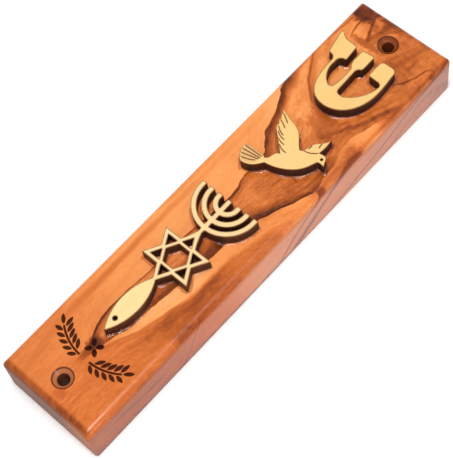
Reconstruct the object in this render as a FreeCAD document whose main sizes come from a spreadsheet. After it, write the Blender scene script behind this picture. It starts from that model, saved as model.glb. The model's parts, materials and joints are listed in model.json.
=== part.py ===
"""Mezuzah case in olive wood, as a parametric FreeCAD document.

The case lies on its back. Millimetres, +Z out of the decorated face, +Y towards the upper end,
+X to the reader's right. The origin is the centre of the back face.
"""
import FreeCAD, Part
import math
import os
import Sketcher

Vector = FreeCAD.Vector
EPS = 1e-4

# Driving dimensions: alias, value in millimetres or degrees, meaning.
DIMENSIONS = [
    ("case_length", 145.0, "block, upper end to lower end"),
    ("case_width", 32.0, "block, side to side"),
    ("case_depth", 14.7, "block, back face to decorated face"),
    ("face_round", 2.0, "radius round the decorated face"),
    ("corner_round", 0.8, "radius of the four upright corners"),
    ("back_round", 0.6, "radius round the back face"),
    ("screw_spacing", 130.0, "distance between the two screw holes"),
    ("screw_shift", -0.4, "screw holes, sideways from the middle"),
    ("screw_hole", 3.5, "screw hole diameter"),
    ("countersink", 5.9, "countersink diameter at the face"),
    ("countersink_angle", 90.0, "countersink included angle"),
    ("groove_mouth", 17.0, "dovetail groove, width at the back face"),
    ("groove_depth", 2.7, "dovetail groove, depth"),
    ("groove_flare", 0.9, "dovetail groove, undercut of each side"),
    ("groove_end", -60.0, "dovetail groove, closed end from the middle"),
    ("recess_width", 11.0, "scroll recess, width"),
    ("recess_depth", 9.0, "scroll recess, depth above the groove"),
    ("recess_low", -54.0, "scroll recess, lower end"),
    ("recess_high", 56.0, "scroll recess, upper end"),
    ("recess_corner", 2.0, "scroll recess, cutter radius"),
    ("cover_gap", 0.08, "running clearance of the cover, all round"),
    ("notch_width", 9.0, "thumb notch in the cover, width"),
    ("notch_length", 3.0, "thumb notch in the cover, half length"),
    ("notch_depth", 0.8, "thumb notch in the cover, depth"),
    ("notch_centre", 55.0, "thumb notch in the cover, from the middle"),
    ("glue_thickness", 0.1, "glue under each plywood piece"),
    ("ply_thickness", 3.9, "plywood pieces"),
    ("engraving_depth", 0.25, "feather lines"),
    ("ornament_depth", 0.3, "burnt olive sprigs in the face"),
    ("letter_x", -1.0, "letter, local origin"),
    ("letter_y", 47.0, "letter, local origin"),
    ("dove_x", 2.0, "dove, local origin"),
    ("dove_y", 20.0, "dove, local origin"),
    ("seal_x", 0.15, "menorah, star and fish: centre of the star"),
    ("seal_y", -22.27, "menorah, star and fish: centre of the star"),
    ("scroll_length", 100.0, "parchment, along the case"),
    ("scroll_radius", 4.0, "rolled parchment, outer radius"),
    ("scroll_pitch", 0.4, "rolled parchment, turn to turn"),
    ("parchment", 0.3, "parchment thickness"),
    ("sleeve_radius", 4.4, "sleeve, outer radius"),
    ("sleeve_wall", 0.25, "sleeve wall"),
    ("sleeve_length", 103.0, "sleeve length"),
    ("sleeve_low", -53.5, "sleeve, lower end"),
]

doc = FreeCAD.newDocument("mezuzah_case")
sheet = doc.addObject("Spreadsheet::Sheet", "Dims")


def fill_sheet():
    """Puts the driving dimensions in the spreadsheet, one row each."""
    for row, (alias, value, meaning) in enumerate(DIMENSIONS, start=1):
        sheet.set(f"A{row}", meaning)
        sheet.set(f"B{row}", str(value))
        sheet.setAlias(f"B{row}", alias)
    doc.recompute()


def dim(alias):
    """The value of one driving dimension."""
    return float(sheet.get(alias))


# ---------------------------------------------------------------- sketches

def new_body(name):
    """An empty body whose label is its file and node name."""
    body = doc.addObject("PartDesign::Body", name)
    body.Label = name
    return body


def place(body, **expressions):
    """Binds the body's position to the sheet: x, y and z as expressions."""
    for axis, text in expressions.items():
        body.setExpression(f"Placement.Base.{axis}", text)


def new_sketch(body, name, role="XY_Plane", offset=None):
    """A sketch on one of the body's own origin planes, lifted by an expression if given."""
    sketch = body.newObject("Sketcher::SketchObject", name)
    plane = next(o for o in body.Origin.OriginFeatures if o.Role == role)
    sketch.AttachmentSupport = [(plane, "")]
    sketch.MapMode = "FlatFace"
    if offset:
        sketch.setExpression("AttachmentOffset.Base.z", offset)
    return sketch


def bind(sketch, name, constraint, expression):
    """Adds a dimension to the sketch and binds it to the sheet."""
    index = sketch.addConstraint(constraint)
    sketch.renameConstraint(index, name)
    sketch.setExpression(f"Constraints.{name}", expression)


def draw(sketch, start, steps):
    """Draws a closed outline from start and back to it.

    A pair is a straight edge to that point, a list of two pairs is an arc through the first to the
    second, and a longer list is a smooth curve through them all.
    """
    here = Vector(*start, 0)
    for step in steps + [start]:
        if isinstance(step, tuple):
            end = Vector(*step, 0)
            if here.distanceToPoint(end) < EPS:
                continue
            edge = Part.LineSegment(here, end)
        elif len(step) == 2:
            middle, end = (Vector(*pair, 0) for pair in step)
            edge = Part.Arc(here, middle, end)
        else:
            points = [here] + [Vector(*pair, 0) for pair in step]
            edge = Part.BSplineCurve()
            edge.interpolate(Points=points)
            end = points[-1]
        sketch.addGeometry(edge, False)
        here = end


def polygon(sketch, points):
    """Draws a closed outline of straight edges."""
    draw(sketch, points[0], points[1:])


def circle(sketch, x, y, radius):
    """Draws a circle."""
    sketch.addGeometry(Part.Circle(Vector(x, y, 0), Vector(0, 0, 1), radius), False)


def polar(radius, degrees, centre=(0.0, 0.0)):
    """The point at a radius and a direction from a centre."""
    angle = math.radians(degrees)
    return centre[0] + radius * math.cos(angle), centre[1] + radius * math.sin(angle)


def stroke(sketch, start, middle, end, width):
    """Draws an engraved line: a narrow strip that follows the arc through three points."""
    points = [Vector(*pair, 0) for pair in (start, middle, end)]
    curve = Part.Arc(*points).toShape().Curve
    centre = curve.Center
    inner = []
    outer = []
    for point in points:
        out = (point - centre).normalize() * (width / 2)
        inner.append((point - out)[:2])
        outer.append((point + out)[:2])
    draw(sketch, inner[0], [[inner[1], inner[2]], outer[2], [outer[1], outer[0]]])


def leaf(sketch, base, direction, length, width):
    """Draws a pointed leaf of two arcs, from its base along a direction in degrees."""
    tip = polar(length, direction, base)
    middle = polar(length / 2, direction, base)
    left = polar(width / 2, direction + 90, middle)
    right = polar(width / 2, direction - 90, middle)
    draw(sketch, base, [[left, tip], [right, base]])


# ---------------------------------------------------------------- features

def pad(body, name, sketch, length):
    """Extrudes a sketch by an expression."""
    feature = body.newObject("PartDesign::Pad", name)
    feature.Profile = sketch
    feature.setExpression("Length", length)
    doc.recompute()
    return feature


def pocket(body, name, sketch, length=None, upward=False):
    """Cuts a sketch into the body, by an expression or right through, and checks that it cuts."""
    before = body.Shape.Volume
    feature = body.newObject("PartDesign::Pocket", name)
    feature.Profile = sketch
    feature.Reversed = upward
    if length:
        feature.setExpression("Length", length)
    else:
        feature.Type = "ThroughAll"
    doc.recompute()
    if body.Shape.Volume > before - EPS:
        raise RuntimeError(f"{name} cuts nothing")
    return feature


def edges_where(shape, test):
    """The names of the edges whose middle passes the test."""
    names = []
    for number, edge in enumerate(shape.Edges, start=1):
        middle = edge.valueAt((edge.FirstParameter + edge.LastParameter) / 2)
        if test(middle):
            names.append(f"Edge{number}")
    return names


def fillet(body, name, edges, radius):
    """Rounds the named edges of the body's tip by an expression."""
    base = body.Tip
    feature = body.newObject("PartDesign::Fillet", name)
    feature.Base = (base, edges)
    feature.setExpression("Radius", radius)
    doc.recompute()
    return feature


# ---------------------------------------------------------------- case

ROUGH_WIDTH = 20.0                # a rectangle is drawn roughly, then its constraints size it
ROUGH_LENGTH = 40.0


def rectangle(sketch, width, length):
    """Draws a rectangle centred on the origin, its two sizes bound to expressions."""
    x = ROUGH_WIDTH / 2
    y = ROUGH_LENGTH / 2
    polygon(sketch, [(-x, -y), (x, -y), (x, y), (-x, y)])
    for side in range(4):
        sketch.addConstraint(Sketcher.Constraint("Coincident", side, 2, (side + 1) % 4, 1))
    for side in (0, 2):
        sketch.addConstraint(Sketcher.Constraint("Horizontal", side))
        sketch.addConstraint(Sketcher.Constraint("Vertical", side + 1))
    sketch.addConstraint(Sketcher.Constraint("Symmetric", 0, 1, 2, 1, -1, 1))
    bind(sketch, "width", Sketcher.Constraint("DistanceX", 0, 1, 0, 2, ROUGH_WIDTH), width)
    bind(sketch, "length", Sketcher.Constraint("DistanceY", 1, 1, 1, 2, ROUGH_LENGTH), length)


def round_block(body):
    """Rounds the edges of the decorated face, then the upright corners and the back edges."""
    depth = dim("case_depth")
    face = edges_where(body.Shape, lambda mid: abs(mid.z - depth) < EPS)
    fillet(body, "face_fillet", face, "Dims.face_round")
    side = dim("case_width") / 2
    end = dim("case_length") / 2
    upright = edges_where(body.Shape, lambda mid: abs(mid.x) > side - EPS and abs(mid.y) > end - EPS)
    fillet(body, "corner_fillet", upright, "Dims.corner_round")
    back = edges_where(body.Shape, lambda mid: abs(mid.z) < EPS)
    fillet(body, "back_fillet", back, "Dims.back_round")


def cut_groove(body):
    """Cuts the dovetail groove for the cover, from its closed end out through the upper end."""
    sketch = new_sketch(body, "groove_profile", "XZ_Plane", "-Dims.groove_end")
    mouth = dim("groove_mouth") / 2
    flare = dim("groove_flare")
    depth = dim("groove_depth")
    polygon(sketch, [(-mouth, 0), (mouth, 0), (mouth + flare, depth), (-mouth - flare, depth)])
    pocket(body, "cover_groove", sketch)


def cut_recess(body):
    """Routs the scroll recess up from the back, with the cutter's radius in its corners."""
    sketch = new_sketch(body, "recess_outline")
    half = dim("recess_width") / 2
    low = dim("recess_low")
    high = dim("recess_high")
    radius = dim("recess_corner")
    slack = radius * (1 - math.sqrt(0.5))
    draw(sketch, (half, low + radius), [
        (half, high - radius),
        [(half - slack, high - slack), (half - radius, high)],
        (radius - half, high),
        [(slack - half, high - slack), (-half, high - radius)],
        (-half, low + radius),
        [(slack - half, low + slack), (radius - half, low)],
        (half - radius, low),
        [(half - slack, low + slack), (half, low + radius)],
    ])
    pocket(body, "scroll_recess", sketch, "Dims.groove_depth + Dims.recess_depth", upward=True)


def screw_sketch(body, name, offset, heights):
    """A sketch with the centres of the screw holes as circles, at the heights up the case."""
    sketch = new_sketch(body, name, offset=offset)
    for height in heights:
        circle(sketch, dim("screw_shift"), height, dim("screw_hole") / 2)
    return sketch


def drill_screws(body):
    """Drills and countersinks the two screw holes from the decorated face."""
    reach = dim("screw_spacing") / 2
    sketch = screw_sketch(body, "screw_centres", "Dims.case_depth", (-reach, reach))
    doc.recompute()
    hole = body.newObject("PartDesign::Hole", "screw_holes")
    hole.Profile = sketch
    hole.Threaded = False
    hole.DepthType = "ThroughAll"
    hole.HoleCutType = "Countersink"
    hole.HoleCutCustomValues = True
    hole.setExpression("Diameter", "Dims.screw_hole")
    hole.setExpression("HoleCutDiameter", "Dims.countersink")
    hole.setExpression("HoleCutCountersinkAngle", "Dims.countersink_angle")
    doc.recompute()


SPRIG_CENTRE = (1.2, -42.0)       # centre of the arc that each sprig's stem follows
SPRIG_RADIUS = 15.6
SPRIG_START = -88.0               # the stem's two ends, in degrees round that centre
SPRIG_END = -53.0
SPRIG_LEAVES = 5                  # pairs of leaves along each stem
LEAF_LENGTH = 3.1
LEAF_WIDTH = 1.1
STEM_WIDTH = 0.55
BLOSSOM = (0.0, -53.8)            # centre of the four-petalled flower between the sprigs
PETAL_LENGTH = 2.3
PETAL_WIDTH = 1.35


def draw_sprig(sketch, side):
    """Draws one olive sprig: its stem, leaves on both sides and a leaf at the tip."""
    def point(radius, degrees):
        x, y = polar(radius, degrees, SPRIG_CENTRE)
        return side * x, y

    def heading(degrees):
        return degrees if side > 0 else 180 - degrees

    middle = (SPRIG_START + SPRIG_END) / 2
    stroke(sketch, point(SPRIG_RADIUS, SPRIG_START), point(SPRIG_RADIUS, middle),
           point(SPRIG_RADIUS, SPRIG_END), STEM_WIDTH)
    gap = STEM_WIDTH / 2 + 0.2
    step = (SPRIG_END - SPRIG_START) / SPRIG_LEAVES
    for number in range(SPRIG_LEAVES):
        angle = SPRIG_START + step * (number + 0.3)
        along = angle + 90
        leaf(sketch, point(SPRIG_RADIUS + gap, angle), heading(along - 40), LEAF_LENGTH * 0.85, LEAF_WIDTH)
        leaf(sketch, point(SPRIG_RADIUS - gap, angle + step / 2), heading(along + 50),
             LEAF_LENGTH, LEAF_WIDTH)
    leaf(sketch, point(SPRIG_RADIUS, SPRIG_END + 1.2), heading(SPRIG_END + 94), LEAF_LENGTH, LEAF_WIDTH)


def burn_ornament(body):
    """Burns two olive sprigs and a blossom into the face, below the fish."""
    sketch = new_sketch(body, "sprigs", offset="Dims.case_depth")
    for side in (-1, 1):
        draw_sprig(sketch, side)
    for petal in range(4):
        direction = 45 + 90 * petal
        leaf(sketch, polar(0.4, direction, BLOSSOM), direction, PETAL_LENGTH, PETAL_WIDTH)
    pocket(body, "burnt_sprigs", sketch, "Dims.ornament_depth")


def make_case_body():
    """The olive-wood block."""
    body = new_body("case_body")
    sketch = new_sketch(body, "block_outline")
    rectangle(sketch, "Dims.case_width", "Dims.case_length")
    pad(body, "block", sketch, "Dims.case_depth")
    round_block(body)
    cut_groove(body)
    cut_recess(body)
    drill_screws(body)
    burn_ornament(body)
    return body


def make_back_cover():
    """The sliding cover: a dovetail strip with a thumb notch, drilled for the upper screw."""
    body = new_body("back_cover")
    gap = dim("cover_gap")
    mouth = dim("groove_mouth") / 2 - gap
    thickness = dim("groove_depth") - 2 * gap
    slope = dim("groove_flare") / dim("groove_depth")
    low = mouth + slope * gap
    high = low + slope * thickness
    sketch = new_sketch(body, "cover_profile", "XZ_Plane", "-(Dims.case_length / 2 - 2 * Dims.cover_gap)")
    polygon(sketch, [(-low, gap), (low, gap), (high, gap + thickness), (-high, gap + thickness)])
    pad(body, "cover_strip", sketch, "Dims.case_length / 2 - 3 * Dims.cover_gap - Dims.groove_end")
    half = dim("notch_width") / 2
    centre = dim("notch_centre")
    reach = dim("notch_length")
    notch = new_sketch(body, "notch_outline", offset="Dims.cover_gap")
    draw(notch, (-half, centre), [(half, centre), [(0, centre + reach), (-half, centre)]])
    pocket(body, "thumb_notch", notch, "Dims.notch_depth", upward=True)
    hole = screw_sketch(body, "cover_screw_centre", None, (dim("screw_spacing") / 2,))
    pocket(body, "cover_screw_hole", hole, "Dims.groove_depth", upward=True)
    return body


# ---------------------------------------------------------------- plywood pieces

def letter_outline(sketch):
    """The three-armed letter: a deep bowl with a head on each arm."""
    draw(sketch, (-10.2, 12.0), [
        [(-9.3, 11.2), (-7.9, 10.45)],
        (-4.8, 10.3),
        [(-4.1, 10.05), (-3.9, 9.4)],
        (-3.6, 5.7),
        [(-3.7, 5.1), (-4.3, 4.9)],
        [(-5.25, 4.3), (-5.65, 2.6)],
        [(-5.0, -1.4), (-2.9, -3.8)],
        [(-1.9, -4.15), (-1.05, -3.6)],
        [(-0.6, 1.5), (-0.75, 3.7)],
        [(-1.75, 5.2), (-1.95, 6.2)],
        (-1.95, 9.6),
        [(-1.8, 10.1), (-1.3, 10.25)],
        (1.3, 10.5),
        [(1.95, 10.25), (2.1, 9.6)],
        (2.1, 6.0),
        [(1.9, 5.2), (1.3, 4.75)],
        [(0.85, 4.1), (0.75, 2.9)],
        (0.95, -3.4),
        [(1.3, -4.45), (2.3, -4.8)],
        [(3.0, -4.8), (3.6, -4.65)],
        [(6.9, -1.7), (8.95, 3.0)],
        [(8.85, 4.25), (8.1, 4.75)],
        (5.2, 4.8),
        [(4.6, 5.05), (4.4, 5.7)],
        (4.4, 9.4),
        [(4.75, 10.35), (5.7, 10.8)],
        (8.2, 10.85),
        [(9.3, 10.35), (9.75, 9.0)],
        [(10.2, 4.5), (10.1, -0.5), (8.6, -5.0), (6.2, -8.0), (2.5, -9.85), (-0.6, -9.95), (-3.4, -8.8),
         (-5.5, -6.0), (-6.5, -2.4), (-6.8, 2.3)],
        [(-7.4, 3.75), (-8.7, 4.1)],
        (-9.0, 4.1),
        [(-9.8, 6.6), (-10.2, 8.6), (-10.75, 10.8), (-10.7, 11.7), (-10.2, 12.0)],
    ])


def dove_outline(sketch):
    """The flying dove: large wing, small wing, head, breast, fanned tail, and feather tips."""
    draw(sketch, (-9.7, 9.4), [
        [(-7.4, 8.3), (-4.6, 7.55), (-1.6, 6.2), (0.3, 4.2), (2.3, 2.15)],
        (3.2, 2.65),
        [(3.5, 4.0), (3.95, 5.6), (5.0, 6.95), (6.05, 8.0), (6.85, 10.1)],
        [(7.15, 7.4), (6.95, 4.75)],
        [(7.7, 4.9), (8.5, 5.0), (9.3, 4.7), (9.85, 3.85), (10.6, 2.3)],
        [(9.8, 2.45), (9.0, 2.5)],
        [(8.55, 2.4), (8.2, 2.1)],
        [(7.8, 1.0), (6.9, -0.95), (5.5, -2.8), (3.2, -4.6), (0.2, -6.0), (-2.6, -6.65)],
        [(-3.4, -7.7), (-4.6, -9.05), (-6.2, -10.0), (-7.9, -10.3)],
        [(-8.75, -9.8), (-9.25, -9.05)],
        [(-9.75, -8.75), (-9.75, -8.1)],
        [(-10.2, -7.8), (-10.15, -7.1)],
        [(-10.6, -6.65), (-10.45, -5.9)],
        (-9.5, -5.2),
        (-4.2, -5.15),
        (-3.7, -5.5),
        [(-2.85, -4.9), (-2.4, -3.5), (-1.1, -1.95)],
        (-7.2, 3.4),
        (-7.65, 4.35),
        (-7.45, 4.75),
        (-8.35, 6.0),
        (-8.1, 6.45),
        (-8.95, 7.6),
        (-8.8, 8.0),
        (-9.7, 9.4),
    ])


DOVE_EYE = (8.75, 3.65, 0.4)      # centre and radius
FEATHER_WIDTH = 0.2
FEATHER_LINES = [
    # start, middle and end of each engraved line
    ((-8.6, 8.1), (-7.4, 7.45), (-5.8, 6.5)),
    ((-7.95, 6.15), (-6.9, 5.7), (-5.4, 4.9)),
    ((-7.1, 4.3), (-5.8, 3.4), (-4.2, 2.9)),
    ((-6.1, 3.0), (-4.7, 2.25), (-3.1, 2.0)),
    ((-4.7, 1.45), (-3.5, 0.95), (-2.1, 0.8)),
    ((-3.2, 0.1), (-1.6, -0.65), (-0.1, -0.8)),
    ((-10.0, -5.9), (-7.2, -5.85), (-4.3, -5.75)),
    ((-9.9, -7.1), (-7.2, -6.75), (-4.4, -6.4)),
    ((-9.4, -8.25), (-7.2, -7.65), (-4.6, -6.95)),
    ((-8.6, -9.2), (-6.6, -8.6), (-5.0, -7.7)),
    ((2.8, 2.75), (4.9, 3.15), (6.7, 4.5)),
    ((4.1, 5.2), (3.95, 4.6), (4.0, 3.9)),
    ((5.75, 7.5), (5.75, 6.8), (5.95, 5.9)),
]


STAR_RADIUS = 9.26                # tips of the six-pointed star
STAR_HOLE_TIP = 6.98              # each small triangular hole: its tip and its base,
STAR_HOLE_BASE = 4.15             # both measured from the centre
STAR_HEXAGON = 3.17               # middle hole, centre to flat
FISH_TOP = -7.63                  # fish, its two tips below the star's centre
FISH_NOSE = -27.15
FISH_HALF_WIDTH = 2.98
FISH_EYE = (-0.1, -22.93, 0.65)   # centre and radius
MENORAH_CENTRE = 20.15            # centre of the three arcs, above the star's centre
MENORAH_TOP = 21.2
MENORAH_ARMS = [(4.1, 2.55), (7.1, 5.55), (9.9, 8.4)]    # outer and inner radius of each pair
STEM_HALF_WIDTH = 0.72


def star_outline(sketch):
    """The six-pointed star: its outline, six triangular holes and the hexagon in the middle."""
    notch = STAR_RADIUS / math.sqrt(3)
    points = []
    for tip in range(6):
        points.append(polar(STAR_RADIUS, 90 + 60 * tip))
        points.append(polar(notch, 120 + 60 * tip))
    polygon(sketch, points)
    half_base = (STAR_HOLE_TIP - STAR_HOLE_BASE) * math.tan(math.radians(30))
    for tip in range(6):
        direction = 90 + 60 * tip
        foot = polar(STAR_HOLE_BASE, direction)
        polygon(sketch, [
            polar(STAR_HOLE_TIP, direction),
            polar(half_base, direction + 90, foot),
            polar(half_base, direction - 90, foot),
        ])
    corner = STAR_HEXAGON / math.cos(math.radians(30))
    polygon(sketch, [polar(corner, 60 * side) for side in range(6)])


def fish_outline(sketch):
    """The fish: two equal arcs that meet in its tips, and a hole for its eye."""
    middle = (FISH_TOP + FISH_NOSE) / 2
    draw(sketch, (0, FISH_TOP), [
        [(-FISH_HALF_WIDTH, middle), (0, FISH_NOSE)],
        [(FISH_HALF_WIDTH, middle), (0, FISH_TOP)],
    ])
    circle(sketch, *FISH_EYE)


def arms_outline(sketch):
    """Three nested U-shaped pairs of menorah arms, upright at their tips."""
    for outer, inner in MENORAH_ARMS:
        draw(sketch, (outer, MENORAH_TOP), [
            (inner, MENORAH_TOP),
            (inner, MENORAH_CENTRE),
            [(0, MENORAH_CENTRE - inner), (-inner, MENORAH_CENTRE)],
            (-inner, MENORAH_TOP),
            (-outer, MENORAH_TOP),
            (-outer, MENORAH_CENTRE),
            [(0, MENORAH_CENTRE - outer), (outer, MENORAH_CENTRE)],
            (outer, MENORAH_TOP),
        ])


def stem_outline(sketch):
    """The menorah's stem, which narrows to a neck and spreads down both sides of the star's upper point."""
    neck = STAR_RADIUS + 0.5
    foot = neck - 3.85
    polygon(sketch, [
        (-STEM_HALF_WIDTH, MENORAH_TOP), (-STEM_HALF_WIDTH, neck + 0.6), (-0.6, neck), (-0.6, neck - 0.6),
        (-1.9, foot), (-1.2, foot), (0, neck - 1.9), (1.2, foot), (1.9, foot),
        (0.6, neck - 0.6), (0.6, neck), (STEM_HALF_WIDTH, neck + 0.6), (STEM_HALF_WIDTH, MENORAH_TOP),
    ])


def seal_pads(body, thickness):
    """Menorah, star and fish as one sheet, built up from overlapping pads."""
    for name, outline in (("star", star_outline), ("fish", fish_outline),
                          ("arms", arms_outline), ("stem", stem_outline)):
        sketch = new_sketch(body, f"{name}_outline")
        outline(sketch)
        pad(body, name, sketch, thickness)


def letter_pads(body, thickness):
    """The letter as one sheet."""
    sketch = new_sketch(body, "letter_outline")
    letter_outline(sketch)
    pad(body, "letter", sketch, thickness)


def dove_pads(body, thickness):
    """The dove as one sheet, with the eye cut through."""
    sketch = new_sketch(body, "dove_outline")
    dove_outline(sketch)
    circle(sketch, *DOVE_EYE)
    pad(body, "dove_sheet", sketch, thickness)


def engrave_feathers(body):
    """Engraves the feather lines in the dove's face."""
    sketch = new_sketch(body, "feather_lines", offset="Dims.ply_thickness")
    for start, middle, end in FEATHER_LINES:
        stroke(sketch, start, middle, end, FEATHER_WIDTH)
    pocket(body, "feathers", sketch, "Dims.engraving_depth")


def make_ply_pieces():
    """The three plywood pieces, each on its own film of glue."""
    bodies = []
    for name, glue_name, origin, pads in (
            ("shin_letter", "shin_glue", "letter", letter_pads),
            ("dove", "dove_glue", "dove", dove_pads),
            ("menorah_star_fish", "seal_glue", "seal", seal_pads)):
        for label, thickness, lift in (
                (glue_name, "Dims.glue_thickness", "Dims.case_depth"),
                (name, "Dims.ply_thickness", "Dims.case_depth + Dims.glue_thickness")):
            body = new_body(label)
            pads(body, thickness)
            place(body, x=f"Dims.{origin}_x", y=f"Dims.{origin}_y", z=lift)
            if label == "dove":
                engrave_feathers(body)
            bodies.append(body)
    return bodies


# ---------------------------------------------------------------- scroll

SCROLL_HALF_TURNS = 9             # half circles from the outside of the roll to its middle


def spiral_outline(sketch):
    """The rolled sheet on end: half circles about two centres in turn, each smaller by half a turn's
    pitch, drawn in along the outside and back out along the inside of the sheet."""
    step = dim("scroll_pitch") / 2
    sheet_thickness = dim("parchment")
    outside = dim("scroll_radius")
    path = []
    for inset in (0, sheet_thickness):
        run = []
        end = outside - inset
        side = 1
        for half in range(SCROLL_HALF_TURNS):
            radius = outside - inset - half * step
            centre = end - side * radius
            run.append(((end, 0), (centre, side * radius), (centre - side * radius, 0)))
            end = centre - side * radius
            side = -side
        path.append(run)
    outer, inner = path
    steps = [[arc[1], arc[2]] for arc in outer]
    steps.append(inner[-1][2])
    steps += [[arc[1], arc[0]] for arc in reversed(inner)]
    draw(sketch, outer[0][0], steps)


def make_scroll():
    """The rolled parchment and the clear sleeve round it, lying along the recess."""
    height = "Dims.groove_depth + Dims.sleeve_radius + Dims.cover_gap"
    scroll = new_body("parchment_scroll")
    sketch = new_sketch(scroll, "rolled_sheet", "XZ_Plane")
    spiral_outline(sketch)
    pad(scroll, "parchment_roll", sketch, "Dims.scroll_length")
    place(scroll, y="Dims.sleeve_low + (Dims.sleeve_length + Dims.scroll_length) / 2", z=height)

    sleeve = new_body("scroll_sleeve")
    sketch = new_sketch(sleeve, "sleeve_section", "XZ_Plane")
    circle(sketch, 0, 0, dim("sleeve_radius"))
    circle(sketch, 0, 0, dim("sleeve_radius") - dim("sleeve_wall"))
    pad(sleeve, "sleeve_tube", sketch, "Dims.sleeve_length")
    place(sleeve, y="Dims.sleeve_low + Dims.sleeve_length", z=height)
    return [scroll, sleeve]


# ---------------------------------------------------------------- output

def check(bodies):
    """Stops if an object failed or a shape is missing, broken or in more than one piece."""
    for thing in doc.Objects:
        if "Invalid" in thing.State or "Error" in thing.State:
            raise RuntimeError(f"{thing.Name}: {thing.State}")
    for body in bodies:
        shape = body.Shape
        if shape.isNull() or not shape.isValid() or len(shape.Solids) != 1:
            raise RuntimeError(f"{body.Label}: bad shape")


def write(bodies):
    """Writes one STEP file for each piece."""
    os.makedirs("parts", exist_ok=True)
    for body in bodies:
        body.Shape.exportStep(f"parts/{body.Label}.step")
        box = body.Shape.BoundBox
        print(f"{body.Label}: {box.XMin:.2f} {box.YMin:.2f} {box.ZMin:.2f} to "
              f"{box.XMax:.2f} {box.YMax:.2f} {box.ZMax:.2f}, {body.Shape.Volume:.1f} mm3")


fill_sheet()
pieces = [make_case_body(), make_back_cover(), *make_ply_pieces(), *make_scroll()]
doc.recompute()
check(pieces)
write(pieces)
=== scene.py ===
"""Looks of the olive-wood mezuzah case: materials, glue beads, floor, light and camera.

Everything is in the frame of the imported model, in metres. Inside the materials lengths are
millimetres, because wood figure is easier to read that way.
"""
import json
import math

import bmesh
import bpy
from mathutils import Matrix, Vector, noise


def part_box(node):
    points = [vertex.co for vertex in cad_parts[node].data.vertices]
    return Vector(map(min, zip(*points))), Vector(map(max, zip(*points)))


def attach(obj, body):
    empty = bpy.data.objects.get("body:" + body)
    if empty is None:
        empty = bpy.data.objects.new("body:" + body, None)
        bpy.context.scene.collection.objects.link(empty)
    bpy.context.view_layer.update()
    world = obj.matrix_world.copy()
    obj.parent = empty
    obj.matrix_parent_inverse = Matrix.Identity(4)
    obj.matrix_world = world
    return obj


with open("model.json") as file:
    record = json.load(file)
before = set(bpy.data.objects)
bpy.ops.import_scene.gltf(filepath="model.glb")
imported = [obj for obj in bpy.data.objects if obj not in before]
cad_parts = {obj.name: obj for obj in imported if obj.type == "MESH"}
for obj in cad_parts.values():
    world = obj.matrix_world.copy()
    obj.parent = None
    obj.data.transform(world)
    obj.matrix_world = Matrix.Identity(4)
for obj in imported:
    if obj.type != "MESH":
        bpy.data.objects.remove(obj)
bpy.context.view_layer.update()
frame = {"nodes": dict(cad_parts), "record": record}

MM = 0.001
CASE_LOW, CASE_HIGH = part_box("case_body")
FACE = CASE_HIGH.z / MM                       # decorated face
PLY_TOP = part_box("shin_letter")[1].z / MM     # upper face of the plywood pieces
CASE_CENTRE = (CASE_LOW + CASE_HIGH) / 2
SCREWS = next(mount for mount in frame["record"]["mounts"] if mount["name"] == "screw_holes")

WHITE_LEVEL = 1.2       # how bright a white card on the case looks, where 1 is white on the display
VARNISHED_WHITE = 1.12  # the same under the varnish, which keeps some light out
ROOM_GLARE = 0.014      # the part of a colour that is only the room mirrored in the varnish
DARKEST = 0.002         # the least that a surface colour reflects


# ---------------------------------------------------------------- node graphs

NOISE_SHIFT = (7.3, -3.1, 5.7)    # how far the next seed's noise is from the last one's, in grains
NOISE_GAIN = 3.4                  # stretches noise that lies round 0.5 to about -1 to 1
FLAT_CURVE = 1e-6                 # the least height of a curve, so that a level one divides by something
BEVEL_SAMPLES = 6
EDGE_LIKENESS = (0.9995, 0.93)    # how alike the rounded and the flat normal are off an edge and on it


def column(points, number):
    """One number of each point, as a list."""
    return [point[number] for point in points]


def along(points, number):
    """One number of each point, as (place along the case, number) pairs."""
    return [(point[0], point[number]) for point in points]


class Field:
    """A number, colour or vector that varies over a surface: one output in a material's nodes."""

    def __init__(self, owner, socket):
        self.owner = owner
        self.socket = socket

    def math(self, operation, *others, clamp=False):
        """One Math node fed by this field and by others, which are fields or numbers."""
        return self.owner.math(operation, self, *others, clamp=clamp)

    def __add__(self, other):
        return self.math("ADD", other)

    __radd__ = __add__

    def __sub__(self, other):
        return self.math("SUBTRACT", other)

    def __rsub__(self, other):
        return self.owner.math("SUBTRACT", other, self)

    def __mul__(self, other):
        return self.math("MULTIPLY", other)

    __rmul__ = __mul__

    def __truediv__(self, other):
        return self.math("DIVIDE", other)

    def __abs__(self):
        return self.math("ABSOLUTE")

    def step(self, low, high):
        """0 at low, 1 at high and beyond, smooth between; low may be the larger."""
        return self.owner.add("ShaderNodeMapRange", {
            "Value": self, "From Min": low, "From Max": high}, interpolation_type="SMOOTHSTEP")[0]

    def mixed(self, other, amount):
        """This number turned into the other by an amount from 0 to 1."""
        return self + (other - self) * amount

    def clamped(self):
        """This number, kept between 0 and 1."""
        return self.math("ADD", 0.0, clamp=True)


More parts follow.
